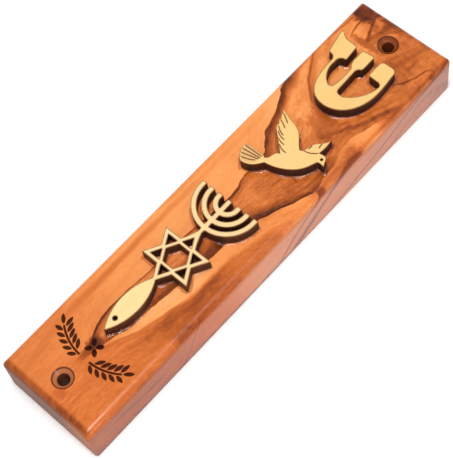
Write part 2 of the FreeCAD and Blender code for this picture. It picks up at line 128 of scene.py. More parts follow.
class Material:
    """A material and its nodes, with the place on the piece in millimetres."""

    def __init__(self, name):
        self.material = bpy.data.materials.new(name)
        self.material.use_nodes = True
        self.tree = self.material.node_tree
        self.tree.nodes.clear()
        where = self.add("ShaderNodeTexCoord")
        self.place = self.vector("SCALE", where["Object"], Scale=1 / MM)
        self.x, self.y, self.z = self.split(self.place)
        self.normal = where["Normal"]

    def add(self, kind, inputs=None, **settings):
        """Adds a node and returns its outputs, by name or number."""
        node = self.tree.nodes.new(kind)
        for name, value in settings.items():
            setattr(node, name, value)
        for name, value in (inputs or {}).items():
            self.plug(value, node.inputs[name])
        return Outputs(self, node)

    def plug(self, value, socket):
        """Feeds a socket with a field, or sets its value."""
        if isinstance(value, Field):
            self.tree.links.new(value.socket, socket)
        else:
            socket.default_value = value

    def math(self, operation, *values, clamp=False):
        """One Math node."""
        return self.add("ShaderNodeMath", dict(enumerate(values)), operation=operation, use_clamp=clamp)[0]

    def vector(self, operation, *values, **inputs):
        """One Vector Math node."""
        return self.add("ShaderNodeVectorMath", {**dict(enumerate(values)), **inputs},
                        operation=operation)["Vector"]

    def join(self, x, y, z):
        """A vector from three numbers."""
        return self.add("ShaderNodeCombineXYZ", {0: x, 1: y, 2: z})[0]

    def split(self, vector):
        """The three numbers of a vector."""
        parts = self.add("ShaderNodeSeparateXYZ", {0: vector})
        return parts[0], parts[1], parts[2]

    def noise(self, where, sizes, seed, detail=3.0):
        """Smooth noise, mostly within -1 and 1, with grains of the given sizes along the axes."""
        scaled = self.vector("DIVIDE", where, sizes)
        moved = self.vector("ADD", scaled, tuple(seed * shift for shift in NOISE_SHIFT))
        value = self.add("ShaderNodeTexNoise", {"Vector": moved, "Scale": 1.0, "Detail": detail})[0]
        return (value - 0.5) * NOISE_GAIN

    def curve(self, field, points):
        """A smooth function of a field through (place, value) points, flat beyond them."""
        points = sorted(points)
        first, last = points[0][0], points[-1][0]
        values = column(points, 1)
        least = min(values)
        span = max(max(values) - least, FLAT_CURVE)
        outputs = self.add("ShaderNodeFloatCurve", {
            "Value": ((field - first) / (last - first)).clamped()})
        line = outputs.node.mapping.curves[0]
        while len(line.points) < len(points):
            line.points.new(0.5, 0.5)
        for knot, (place, value) in zip(line.points, points):
            knot.location = ((place - first) / (last - first), (value - least) / span)
            knot.handle_type = "AUTO_CLAMPED"
        outputs.node.mapping.update()
        return outputs[0] * span + least

    def ramp(self, field, stops):
        """Colours along a field: (place, colour) stops."""
        outputs = self.add("ShaderNodeValToRGB", {0: field})
        elements = outputs.node.color_ramp.elements
        while len(elements) < len(stops):
            elements.new(0.5)
        for element, (place, colour) in zip(elements, stops):
            element.position = place
            element.color = colour
        return outputs["Color"]

    def mix(self, amount, first, second, blend="MIX"):
        """Two colours mixed by an amount."""
        return self.add("ShaderNodeMix", {0: amount, 6: first, 7: second},
                        data_type="RGBA", blend_type=blend)[2]

    def tinted(self, amount, colour, tint):
        """A colour multiplied by a tint, by an amount."""
        return self.mix(amount, colour, self.mix(1.0, colour, (*tint, 1.0), "MULTIPLY"))

    def bump(self, height, distance):
        """A normal bent by a height field; distance is the height in millimetres that 1 stands for."""
        return self.add("ShaderNodeBump", {"Height": height, "Distance": distance * MM})[0]

    def edges(self, radius):
        """1 on sharp edges and beside them, 0 from about the radius on."""
        rounded = self.add("ShaderNodeBevel", {"Radius": radius * MM}, samples=BEVEL_SAMPLES)[0]
        flat = self.add("ShaderNodeNewGeometry")["Normal"]
        likeness = self.add("ShaderNodeVectorMath", {0: rounded, 1: flat}, operation="DOT_PRODUCT")["Value"]
        return likeness.step(*EDGE_LIKENESS)

    def finish(self, shader):
        """Ends the material with a shader."""
        self.add("ShaderNodeOutputMaterial", {"Surface": shader})
        return self.material

    def principled(self, **inputs):
        """Ends the material with a Principled shader; an input's name has _ for a space."""
        named = {name.replace("_", " "): value for name, value in inputs.items()}
        return self.finish(self.add("ShaderNodeBsdfPrincipled", named)[0])


class Outputs:
    """The outputs of one node, as fields."""

    def __init__(self, owner, node):
        self.owner = owner
        self.node = node

    def __getitem__(self, name):
        return Field(self.owner, self.node.outputs[name])


def display(red, green, blue, white=WHITE_LEVEL):
    """The colour of a surface that looks like this display colour, 0 to 255, in the scene's light."""
    linear = []
    for value in (red, green, blue):
        share = value / 255
        # the sRGB display curve
        level = share / 12.92 if share < 0.04045 else ((share + 0.055) / 1.055) ** 2.4
        linear.append(max(DARKEST, (level - ROOM_GLARE) / white))
    return (*linear, 1.0)


# ---------------------------------------------------------------- olive wood

WOOD_TONES = [
    (0.00, display(255, 180, 116, VARNISHED_WHITE)),
    (0.15, display(253, 163, 95, VARNISHED_WHITE)),
    (0.30, display(240, 146, 80, VARNISHED_WHITE)),
    (0.42, display(224, 127, 67, VARNISHED_WHITE)),
    (0.55, display(203, 110, 54, VARNISHED_WHITE)),
    (0.68, display(177, 91, 44, VARNISHED_WHITE)),
    (0.80, display(142, 71, 36, VARNISHED_WHITE)),
    (0.90, display(108, 55, 30, VARNISHED_WHITE)),
    (1.00, display(70, 35, 22, VARNISHED_WHITE)),
]

# The two main veins divide the face into three zones. Each has a sharp dark edge and a softer band
# on its inner side. Points: place along the case, edge across it, band width, band and edge strength.
LEFT_VEIN = [
    (60, -24.0, 3.0, 0.0, 0.0), (49, -19.0, 3.2, 0.5, 0.3), (44, -17.8, 2.6, 0.8, 0.5),
    (40, -15.9, 3.0, 0.85, 0.6), (37, -15.0, 2.8, 0.85, 0.7),
    (35.5, -14.5, 2.6, 0.95, 0.6), (34, -13.3, 2.5, 0.95, 0.55), (31.5, -12.2, 2.5, 0.95, 0.5),
    (29.5, -10.9, 2.3, 0.95, 0.5), (27, -9.9, 2.0, 0.85, 0.5), (24.5, -9.1, 2.4, 0.9, 0.5),
    (22.8, -8.8, 2.8, 0.9, 0.5), (20.5, -7.0, 2.4, 0.9, 0.5), (18.5, -5.6, 2.2, 0.85, 0.5),
    (16.8, -4.2, 1.8, 0.8, 0.5), (12, -4.0, 1.4, 0.6, 0.5), (7.5, -3.8, 1.2, 0.5, 0.6),
    (4, -2.9, 1.6, 0.6, 0.85), (0, -2.6, 1.6, 0.65, 0.85), (-12, -3.5, 0.9, 0.4, 0.7),
    (-20, -4.0, 0.8, 0.3, 0.6), (-30, -4.2, 0.7, 0.2, 0.6), (-38, -4.9, 0.7, 0.3, 0.75),
    (-42, -4.9, 1.0, 0.5, 0.9), (-46, -4.6, 1.3, 0.7, 0.95), (-49.5, -3.7, 1.5, 0.7, 0.9),
    (-52, -2.6, 2.0, 0.7, 0.8), (-54, -1.9, 2.0, 0.75, 0.6), (-57, -1.4, 1.5, 0.3, 0.1),
    (-61, -1.2, 1.0, 0.0, 0.0),
]
RIGHT_VEIN = [
    (56, 19.0, 2.0, 0.3, 0.1), (50, 16.2, 2.2, 0.3, 0.1), (46, 14.4, 2.2, 0.3, 0.1),
    (43, 13.0, 2.0, 0.25, 0.1), (40, 12.4, 2.0, 0.2, 0.05), (34, 11.0, 2.0, 0.1, 0.0),
    (31, 11.0, 2.0, 0.1, 0.0), (28, 12.3, 2.0, 0.3, 0.1), (25, 13.0, 2.2, 0.5, 0.25),
    (22, 13.1, 2.2, 0.55, 0.3), (19, 13.9, 2.4, 0.55, 0.5), (17, 14.2, 2.2, 0.6, 0.7),
    (15, 13.7, 1.6, 0.75, 0.8), (13, 12.9, 1.6, 0.8, 0.8), (10.5, 12.1, 1.8, 0.85, 0.85),
    (8, 11.0, 2.0, 0.9, 0.85), (5.5, 9.9, 2.4, 0.9, 0.85), (3, 9.1, 3.4, 0.9, 0.85),
    (1, 8.3, 3.8, 0.9, 0.85), (-4, 7.0, 3.5, 0.85, 0.85), (-10.5, 6.0, 3.6, 0.85, 0.85),
    (-17, 5.9, 4.2, 0.85, 0.8), (-28, 4.6, 2.8, 0.8, 0.6), (-34, 3.9, 2.2, 0.7, 0.6),
    (-37, 3.6, 1.6, 0.6, 0.5), (-40, 3.4, 1.4, 0.5, 0.5), (-44, 3.2, 1.4, 0.6, 0.5),
    (-47, 2.3, 1.4, 0.6, 0.6), (-50, 1.6, 1.6, 0.6, 0.6), (-53, 0.9, 2.0, 0.7, 0.6),
    (-55, 0.5, 1.8, 0.6, 0.3), (-58, 0.3, 1.5, 0.2, 0.0), (-61, 0.2, 1.0, 0.0, 0.0),
]
# Lesser veins: the tone, then place along the case, centre across it, width and strength.
FACE_VEINS = [
    # under the letter's left foot: a line inside a softer shade
    (0.88, [(52, -16.6, 0.6, 0.8), (49.5, -14.7, 0.7, 0.9), (47, -13, 0.7, 0.9), (44.5, -11.6, 0.7, 0.9),
            (42.5, -10.4, 0.8, 0.9), (41, -8.7, 1.0, 0.9), (38.5, -6, 1.0, 0.8), (37, -4.5, 0.8, 0.0)]),
    (0.55, [(53, -16, 2.2, 0.5), (49, -13.8, 2.4, 0.6), (45.5, -11.4, 2.2, 0.6), (42.5, -9.4, 2.4, 0.7),
            (39, -5.5, 2.4, 0.6), (36.5, -3, 2.0, 0.2), (35, -1, 2.0, 0.0)]),
    # soft lines at the right of the letter
    (0.84, [(58, 18, 1.2, 0.5), (52, 15.3, 1.2, 0.7), (49, 13.9, 1.3, 0.7), (46, 12.5, 1.2, 0.6),
            (43, 11.3, 1.2, 0.6), (40, 10.2, 1.2, 0.6), (37, 8.4, 1.2, 0.6), (33.5, 6.2, 1.4, 0.6),
            (30, 4.6, 1.2, 0.2), (28, 4, 1.0, 0.0)]),
    (0.72, [(56, 13.8, 0.8, 0.0), (51, 12.4, 0.8, 0.4), (46, 10.2, 0.8, 0.5), (41, 8.4, 0.8, 0.5),
            (37, 6, 0.8, 0.5), (34, 3.4, 0.9, 0.5), (31, 2.2, 0.8, 0.0)]),
    (0.60, [(70, 18, 1.4, 0.0), (60, 15.4, 1.4, 0.3), (54, 12.4, 1.2, 0.4), (49, 10.4, 1.2, 0.4),
            (44, 9.4, 1.0, 0.0)]),
    # below the knot at the upper right
    (0.88, [(65.5, 13.3, 0.45, 0.0), (64.5, 13.2, 0.5, 0.8), (62, 12.6, 0.5, 0.8), (60, 11.8, 0.5, 0.8),
            (57.5, 10.6, 0.6, 0.8), (56.3, 9.5, 0.6, 0.8), (55, 8.4, 0.6, 0.0)]),
    # below the dark patch at the upper left
    (0.84, [(67, -11.4, 0.5, 0.9), (64, -11.2, 0.5, 0.8), (61.8, -10.7, 0.5, 0.6), (60, -10, 0.5, 0.0)]),
    (0.86, [(70, -9.2, 0.7, 0.9), (67.5, -8.1, 0.8, 0.9), (65, -7, 0.9, 0.9), (63, -6, 1.0, 0.8),
            (61, -5.4, 0.8, 0.3), (60, -5, 0.6, 0.0)]),
    (0.82, [(74, -3, 2.6, 0.9), (70, -4.2, 2.2, 0.9), (67, -4.6, 1.5, 0.9), (64, -5.5, 1.6, 0.8),
            (61.5, -6.2, 1.4, 0.5), (60, -6.5, 1.0, 0.0)]),
    (0.76, [(74, 0.5, 1.2, 0.8), (70, -1.6, 1.2, 0.8), (67, -3.2, 1.0, 0.7), (62, -3.8, 1.0, 0.4),
            (60, -4, 1.0, 0.0)]),
    (0.70, [(66, -14.4, 0.5, 0.0), (64.5, -14.2, 0.5, 0.7), (60.5, -14.6, 0.6, 0.7), (57, -15.4, 0.6, 0.4),
            (54, -15.8, 0.6, 0.0)]),
    # mottled streaks beyond the letter
    (0.72, [(73, 9.6, 1.3, 0.5), (69, 8, 1.4, 0.8), (66, 7.2, 1.4, 0.8), (63, 6.2, 1.6, 0.7),
            (60, 5, 1.4, 0.2), (57, 4, 1.0, 0.0)]),
    (0.70, [(73, 8, 1.0, 0.4), (69, 6.6, 1.0, 0.5), (65, 4.8, 1.2, 0.5), (61, 3.2, 1.2, 0.6),
            (58.5, 2.4, 1.0, 0.0)]),
    # beside the dove's head
    (0.74, [(36, 16.5, 0.8, 0.0), (31, 15, 0.8, 0.6), (27, 14.3, 0.7, 0.6), (23, 14.2, 0.7, 0.4),
            (19, 14.8, 0.7, 0.3), (17, 15, 0.6, 0.0)]),
    (0.80, [(27, 10.4, 0.6, 0.0), (24.5, 11.2, 0.8, 0.6), (21, 11.6, 1.0, 0.7), (18.5, 11.8, 0.9, 0.6),
            (15, 11.2, 0.8, 0.4), (11, 9.6, 0.8, 0.3), (7, 8, 0.8, 0.0)]),
    (0.76, [(22, 9.4, 0.8, 0.0), (19.5, 9.8, 1.0, 0.6), (16.5, 9.8, 0.8, 0.5), (12.5, 8.9, 0.8, 0.4),
            (8.5, 7.3, 0.8, 0.2), (5, 5.6, 0.8, 0.0)]),
    # soft stripes down the left of the lower half
    (0.50, [(34, -13.6, 1.2, 0.0), (20, -12.6, 1.3, 0.25), (0, -12.5, 1.4, 0.4), (-20, -12.5, 1.5, 0.75),
            (-40, -12.4, 1.5, 0.95), (-52, -12.2, 1.6, 0.9), (-58, -11.6, 1.7, 0.7),
            (-64, -10.4, 1.8, 0.7), (-72, -9.2, 1.8, 0.5)]),
    (0.40, [(-20, -8.6, 1.0, 0.0), (-33, -7.6, 1.0, 0.3), (-45, -7, 1.2, 0.4), (-58, -6.6, 1.4, 0.3),
            (-70, -6.4, 1.4, 0.0)]),
    # the darker wood at the lower right
    (0.80, [(-17, 11.6, 0.9, 0.0), (-20, 11.2, 1.2, 0.6), (-23, 10.7, 1.2, 0.7), (-26, 11.4, 1.6, 0.7),
            (-30, 11.2, 1.5, 0.6), (-34, 10.4, 1.3, 0.4), (-40, 9.2, 1.2, 0.3), (-48, 7.2, 1.2, 0.2),
            (-54, 5, 1.0, 0.0)]),
    (0.72, [(-18, 14.6, 1.2, 0.2), (-24, 13.8, 1.4, 0.6), (-30, 13.6, 1.6, 0.4), (-38, 13, 1.4, 0.2),
            (-46, 12, 1.4, 0.1), (-52, 11, 1.4, 0.0)]),
    (0.68, [(-30, 8.9, 0.7, 0.0), (-34, 8.1, 0.8, 0.6), (-38, 7, 0.8, 0.6), (-42, 6.1, 0.9, 0.5),
            (-46, 4.6, 0.9, 0.5), (-50, 2.8, 1.0, 0.5), (-54, 1.4, 0.8, 0.0)]),
]
# The same on the right-hand side, where the second number is the height above the back face.
SIDE_VEINS = [
    (1.0, [(18.5, 15.5, 0.9, 0.9), (15, 11.9, 0.8, 0.9), (10, 9.4, 0.8, 0.9), (5, 6.2, 0.8, 0.9),
           (1, 2.6, 0.8, 0.9), (-3, -1, 0.7, 0.8)]),
    (0.96, [(34, 15.2, 1.7, 0.9), (27, 13.2, 1.7, 0.9), (23, 11.4, 1.6, 0.9), (19, 9.2, 1.6, 0.9),
            (16, 7.2, 1.8, 0.9), (12, 4.8, 2.1, 0.9), (8, 2.3, 2.0, 0.9), (4, 0, 1.6, 0.8)]),
    (0.94, [(74, 14.5, 1.0, 0.6), (65, 12.6, 1.0, 0.7), (58, 11, 1.0, 0.8), (50, 8.8, 0.9, 0.8),
            (45, 6.7, 0.8, 0.8), (40, 5.3, 0.8, 0.8), (33, 3.6, 0.8, 0.8), (26, 2.2, 0.8, 0.7),
            (18, 0.6, 0.8, 0.5)]),
    (0.86, [(66, 10, 0.8, 0.0), (58, 7.4, 0.8, 0.6), (53, 4.4, 0.8, 0.7), (46, 1.6, 0.8, 0.5),
            (40, 0, 0.8, 0.0)]),
    (0.86, [(-30, 15, 0.7, 0.5), (-32, 12.5, 0.7, 0.6), (-34, 9, 0.7, 0.7), (-36.5, 4, 0.7, 0.7),
           (-40, 0, 0.7, 0.5)]),
    (0.86, [(-44, 6.2, 1.2, 0.0), (-52, 6.6, 1.4, 0.6), (-60, 8.0, 1.2, 0.5), (-68, 8.6, 1.2, 0.0)]),
    (0.86, [(72, 3.0, 3.0, 0.3), (66, 6.5, 2.4, 0.4), (60, 8.0, 1.5, 0.0)]),
]
# Tone of the right-hand side along the case.
SIDE_TONE = [
    (-73, 0.65), (-50, 0.64), (-35, 0.57), (-20, 0.48), (-5, 0.41), (8, 0.46), (25, 0.48), (40, 0.52),
    (55, 0.58), (73, 0.7),
]
# Where the darker wood at the lower right begins: place along the case, place across it.
DEEP_EDGE = [(4, 13.4), (-5, 11.6), (-10, 10.4), (-16, 9.6), (-20, 9.8), (-25, 9.5), (-29, 8.9),
             (-33, 8.1), (-38, 7.4), (-42, 6.1), (-46, 4.6), (-50, 2.6), (-56, -1)]
DEEP_TONE = [(3, 0.0), (-5, 0.28), (-12, 0.3), (-18, 0.42), (-24, 0.62), (-36, 0.58), (-41, 0.42),
             (-50, 0.26), (-56, 0.1), (-62, 0.0)]
# How much darker the left edge is, along the case.
LEFT_SHADE = [(-14, 0.0), (-7, 0.12), (4, 0.14), (10, 0.03), (30, 0.0)]
# Tone of the wood along the case, left of the left vein, between the veins, and right of the right one.
LEFT_TONE = [
    (-74, 0.45), (-62, 0.42), (-50, 0.38), (-42, 0.31), (-34, 0.24), (-20, 0.17), (0, 0.17),
    (14, 0.18), (24, 0.15), (33, 0.08), (45, 0.2), (74, 0.4),
]
MIDDLE_LEFT_TONE = [
    (-74, 0.42), (-58, 0.4), (-45, 0.4), (-30, 0.36), (-18, 0.38), (-6, 0.4), (3, 0.42), (8, 0.48),
    (12, 0.56), (20, 0.5), (26, 0.36), (30, 0.27), (34, 0.2), (38, 0.24), (44, 0.24), (53, 0.22),
    (58, 0.3), (62, 0.26), (65, 0.32), (68, 0.46), (74, 0.52),
]
MIDDLE_RIGHT_TONE = [
    (-74, 0.45), (-62, 0.46), (-52, 0.4), (-42, 0.3), (-30, 0.3), (-20, 0.32), (-10, 0.4), (0, 0.4),
    (5, 0.42), (9, 0.54), (13, 0.54), (18, 0.54), (26, 0.5), (31, 0.55), (35, 0.54), (40, 0.48),
    (46, 0.44), (53, 0.48), (60, 0.57), (66, 0.57), (70, 0.48), (74, 0.5),
]
RIGHT_TONE = [
    (-74, 0.48), (-62, 0.46), (-56, 0.37), (-50, 0.24), (-44, 0.15), (-38, 0.1), (-25, 0.04),
    (-14, 0.22), (-7, 0.22), (-1, 0.28), (4, 0.34), (8, 0.28), (11, 0.24), (14, 0.28), (19, 0.46),
    (26, 0.41), (31, 0.38), (36, 0.24), (40, 0.18), (44, 0.34), (50, 0.48), (60, 0.5), (74, 0.48),
]
# Knots, stains and other darker and paler patches: place across and along, half width, half length, tone
# and strength.
SPOTS = [
    (-12.4, 69.4, 5.2, 3.8, 0.88, 1.0),
    (-4.6, 71.6, 5.4, 1.8, 0.88, 0.9),
    (15.8, 31.4, 2.0, 4.2, 0.84, 0.9),
    (13.7, 32.0, 1.8, 3.0, 0.66, 0.7),
    (-5.0, 61.3, 6.5, 1.2, 0.66, 0.9),
    (0.6, 36.6, 5.6, 2.2, 0.68, 0.9),
    (-3.2, 30.6, 2.2, 1.4, 0.5, 0.6),
    (3.6, 30.8, 1.6, 1.4, 0.76, 0.8),
    (9.6, 28.4, 1.2, 1.8, 0.4, 0.7),
    (7.8, 40.4, 1.2, 1.6, 0.42, 0.6),
    (-4.4, 64.5, 1.6, 2.6, 0.66, 0.7),
    (-6.6, 67.0, 1.2, 1.6, 0.74, 0.6),
    (-1.0, 70.6, 2.6, 1.4, 0.68, 0.6),
    # painted light: two pale patches inside the letter's hollows, lifting the shade that its walls cast
    # there
    (-4.6, 49.5, 2.2, 3.8, 0.12, 0.7),
    (2.6, 50.0, 2.4, 3.4, 0.3, 0.6),
    (15.7, 18.0, 2.2, 1.6, 0.84, 0.9),
    (13.9, 17.2, 1.4, 1.0, 0.8, 0.6),
    (15.3, 64.6, 0.7, 1.2, 0.8, 0.8),
    (-16.2, 38.6, 1.6, 4.0, 0.88, 0.9),
    (-0.8, -52.8, 2.2, 2.4, 0.92, 0.9),
    (-0.9, -56.6, 1.2, 2.2, 0.75, 0.6),
    (7.6, 15.9, 1.0, 0.5, 0.8, 0.6),
    (1.2, 33.4, 5.0, 2.8, 0.66, 0.7),
    (5.8, 31.4, 2.0, 1.8, 0.72, 0.6),
    (1.4, 5.0, 2.4, 2.4, 0.36, 0.5),
]
BAND_TONE = 0.79              # of the main veins' soft bands
EDGE_TONE = 0.93              # of their sharp edges
RISE = (-0.12, 0.14)          # where a main vein's sharp edge starts and is full
BAND_FADE = (1.7, 0.5)        # where its band ends and is full, in band widths
EDGE_FADE = (0.75, 0.2)       # the same for its edge
VEIN_FADE = (1.0, 0.15)       # the same for a lesser vein, in vein widths
SPOT_FADE = (1.15, 0.5)       # where a spot ends and is full, on its oval's scale
LEAN = 0.7                    # how far a vein moves to the right for each millimetre below the face
FLOW_SPREAD = 18.0            # width that the wood between the main veins takes in the streaks' pattern

# The loop of dark wood at the upper right: the upper half of a ring.
LOOP = (14.9, 64.5, 1.5, 1.6)    # its oval: place across and along, half width, half length
LOOP_TONE = 0.8
LOOP_HALF_WIDTH = 0.22           # of the ring, on the oval's scale

MIDDLE_TURN = (-5.0, 7.0)        # across the case, where the middle's left tone turns into its right one
RIGHT_EDGE = (14.4, 15.8)        # across the case, where the face turns into the right-hand side
SIDE_TOP = (13.6, 12.2)          # height at which the side's own tone starts and is full
SHADED_LOWER_END = (-69.9, -71.2)       # along the case, where the painted shade on the rounded lower end starts and is full
LOWER_END_SHADE = 0.26                  # how much darker the painted shade makes it
END_NORMAL = (0.65, 0.98)        # size of the normal's y part off the two end faces and on them

BORE_RADIUS = SCREWS["dims"]["hole_r_mm"]
SINK_RADIUS = 2.9                # of the countersinks' cones, at the face
SPRIG_SIDE = 13.2                # the sprigs' greatest distance from the middle
SPRIG_LOW, SPRIG_HIGH = -60.0, -48.0


def right_side(m):
    """1 on the right-hand side of the case, 0 on its face."""
    return m.x.step(*RIGHT_EDGE)


def main_vein(m, tone, inward, points):
    """Draws a main vein into a tone; inward is the distance from its sharp edge to its band side."""
    width = m.curve(m.y, along(points, 2))
    rise = inward.step(*RISE)
    band = rise * (inward / width).step(*BAND_FADE) * m.curve(m.y, along(points, 3))
    edge = rise * (inward / width).step(*EDGE_FADE) * m.curve(m.y, along(points, 4))
    return tone.mixed(BAND_TONE, band).mixed(EDGE_TONE, edge)


def small_veins(m, tone, across, veins, where):
    """Draws lesser veins into a tone, where a mask is 1."""
    for dark, points in veins:
        offset = abs(across - m.curve(m.y, along(points, 1))) / m.curve(m.y, along(points, 2))
        tone = tone.mixed(dark, offset.step(*VEIN_FADE) * m.curve(m.y, along(points, 3)) * where)
    return tone


def flow_field(m, across, left, right):
    """A place that follows the veins, so that streaks drawn in it flow beside them."""
    between = ((across - left) / (right - left)).clamped() * FLOW_SPREAD
    outside = (across - left).math("MINIMUM", 0.0) + (across - right).math("MAXIMUM", 0.0)
    return m.join(between + outside, m.y, m.z)


def streaks(m, flow):
    """Three layers of grain in the wood: clouds, streaks and fine fibres."""
    clouds = m.noise(flow, (2.6, 6.5, 3.4), seed=3)
    lines = m.noise(flow, (0.8, 7.0, 1.1), seed=4)
    fibres = m.noise(flow, (0.22, 4.0, 0.25), seed=5, detail=2.0)
    return clouds, lines, fibres


def pores_of(m):
    """The open pores: short dark dashes along the grain."""
    dashes = m.noise(m.place, (0.13, 1.6, 0.13), seed=6, detail=1.0)
    return dashes.step(1.0, 1.35)


def spots_of(m, tone, across):
    """Draws the knots, stains and other patches into a tone, with ragged edges, the painted light in the
    letter's hollows among them.
    """
    ragged = m.noise(m.place, (1.3, 1.3, 1.3), seed=7) * 0.35
    for x, y, half_width, half_length, dark, strength in SPOTS:
        distance = oval(m, across, x, y, half_width, half_length) + ragged
        tone = tone.mixed(dark, distance.step(*SPOT_FADE) * strength)
    loop = oval(m, across, *LOOP) + ragged * 0.3
    ring = (abs(loop - 1.0) / LOOP_HALF_WIDTH).step(1.0, 0.2) * m.y.step(64.0, 65.0)
    return tone.mixed(LOOP_TONE, ring * 0.8)


def oval(m, across, x, y, half_width, half_length):
    """Distance from a place on the face, 1 on an oval of the given half width and half length."""
    off_x = (across - x) / half_width
    off_y = (m.y - y) / half_length
    return (off_x * off_x + off_y * off_y).math("SQRT")


def case_tone(m):
    """Tone of the case's wood, from 0, pale, to 1, dark, with its fibres, streaks and deeper part, painted
    shade at its lower end and painted light in the letter's hollows.
    """
    depth = FACE - m.z
    waves = m.noise(m.place, (6.0, 9.0, 6.0), seed=1)
    quivers = m.noise(m.place, (0.9, 1.8, 0.9), seed=2)
    wobble = waves * 0.3 + quivers * 0.14
    across = m.x - depth * LEAN + wobble
    left = m.curve(m.y, along(LEFT_VEIN, 1))
    right = m.curve(m.y, along(RIGHT_VEIN, 1))

    turn = across.step(*MIDDLE_TURN)
    middle = m.curve(m.y, MIDDLE_LEFT_TONE).mixed(m.curve(m.y, MIDDLE_RIGHT_TONE), turn)
    past_left = (across - left).step(-0.2, 0.2)
    past_right = (across - right).step(-0.2, 0.2)
    tone = m.curve(m.y, LEFT_TONE).mixed(middle, past_left).mixed(m.curve(m.y, RIGHT_TONE), past_right)
    past_deep = (across - m.curve(m.y, DEEP_EDGE)).step(-1.0, 1.0)
    tone = tone + m.curve(m.y, DEEP_TONE) * past_deep
    tone = tone + across.step(-13.4, -14.6) * m.curve(m.y, LEFT_SHADE)
    tone = tone + across.step(13.8, 15.2) * 0.04

    flow = flow_field(m, across, left, right)
    clouds, lines, fibres = streaks(m, flow)
    grit = m.noise(flow, (0.8, 1.5, 0.8), seed=8)
    between = past_left * (1.0 - past_right)
    lively = between * 0.05 + past_right * 0.02 + 0.04
    tone = tone + (clouds * 1.5 + lines + grit * 1.3 + fibres * 0.4) * lively
    tone = tone + lines.step(0.2, 1.0) * between * 0.03

    side = right_side(m)
    tone = main_vein(m, tone, across - left, LEFT_VEIN)
    tone = main_vein(m, tone, right - across, RIGHT_VEIN)
    tone = small_veins(m, tone, across, FACE_VEINS, 1.0 - side)
    tone = spots_of(m, tone, across)
    plain_side = m.curve(m.y, SIDE_TONE) + clouds * 0.05 + lines * 0.04 + grit * 0.03
    tone = tone.mixed(plain_side, side * m.z.step(*SIDE_TOP))
    tone = small_veins(m, tone, m.z + wobble * 0.8, SIDE_VEINS, side)
    mottle = clouds * 0.08 + grit * 0.07 + lines * 0.04
    tone = tone + mottle * tone.step(0.5, 0.85) * (1.0 - past_deep * 0.8)
    # painted shade: the rounded lower end and its end face are darkened, much less on the right-hand side
    tone = tone + m.y.step(*SHADED_LOWER_END) * (1.0 - side * 0.85) * LOWER_END_SHADE
    return tone.clamped(), fibres, lines, past_deep * (1.0 - side)


def screw_holes(m):
    """1 inside the two screw holes, and the distance from the nearer one's axis."""
    reach = SCREWS["dims"]["spacing_y_mm"] / 2
    off_x = m.x - SCREWS["pos_m"][0] / MM
    off_y = abs(m.y) - reach
    radius = (off_x * off_x + off_y * off_y).math("SQRT")
    between_faces = m.z.step(FACE - 0.02, FACE - 0.12) * m.z.step(0.05, 0.3)
    return radius.step(SINK_RADIUS + 0.2, SINK_RADIUS) * between_faces, radius


def sprig_burn(m):
    """1 on the floor and walls of the burnt sprigs, the only hollows in their part of the face."""
    below = m.z.step(FACE - 0.03, FACE - 0.1) * m.z.step(FACE - 1.2, FACE - 0.9)
    across = abs(m.x).step(SPRIG_SIDE, SPRIG_SIDE - 0.2)
    lengthwise = m.y.step(SPRIG_LOW, SPRIG_LOW + 0.2) * m.y.step(SPRIG_HIGH, SPRIG_HIGH - 0.2)
    return below * across * lengthwise


def sprig_scorch(m):
    """1 on the face beside the edges of the burnt sprigs."""
    face = m.z.step(FACE - 0.2, FACE - 0.02)
    across = abs(m.x).step(SPRIG_SIDE + 0.4, SPRIG_SIDE)
    lengthwise = m.y.step(SPRIG_LOW - 1.0, SPRIG_LOW) * m.y.step(SPRIG_HIGH, SPRIG_HIGH - 1.0)
    return m.edges(0.25) * face * across * lengthwise


def hole_colour(m, colour, hole, radius):
    """Draws the screw holes into a colour: the cone, the bore in it and a dark rim round the cone."""
    lower = m.y.step(10.0, -10.0)    # 1 at the lower hole, whose cone and bore are painted paler: painted light and reflection on its walls
    cone = m.mix(lower, display(128, 66, 38), display(192, 120, 84))
    rings = (m.z * 9.0).math("SINE") * 0.08
    colour = m.mix(hole * (0.8 + rings), colour, cone)
    bore = radius.step(BORE_RADIUS + 0.25, BORE_RADIUS - 0.05)
    bore_colour = m.mix(lower, display(150, 78, 52), display(150, 92, 66))
    colour = m.mix(hole * bore * 0.9, colour, bore_colour)
    rim = (abs(radius - SINK_RADIUS) / 0.35).step(1.0, 0.3) * m.z.step(FACE - 0.5, FACE - 0.1)
    return m.mix(rim * 0.85, colour, display(78, 36, 22))


# Tints that the case's colour is multiplied by, in places.
REDDER = (1.0, 0.84, 0.86)        # in soft patches
DEEPER = (1.0, 0.9, 0.74)         # in the darker wood at the lower right
WARMER = (1.0, 0.86, 0.62)        # low on the right-hand side
END_GRAIN_AND_SHADE_TINT = (0.42, 0.45, 0.55)       # on the end faces: the end grain's own darker colour, with painted shade
STAIN = (2.2, -68.2, 2.4, 2.0)    # reddish stain by the lower hole: across and along, half width and length


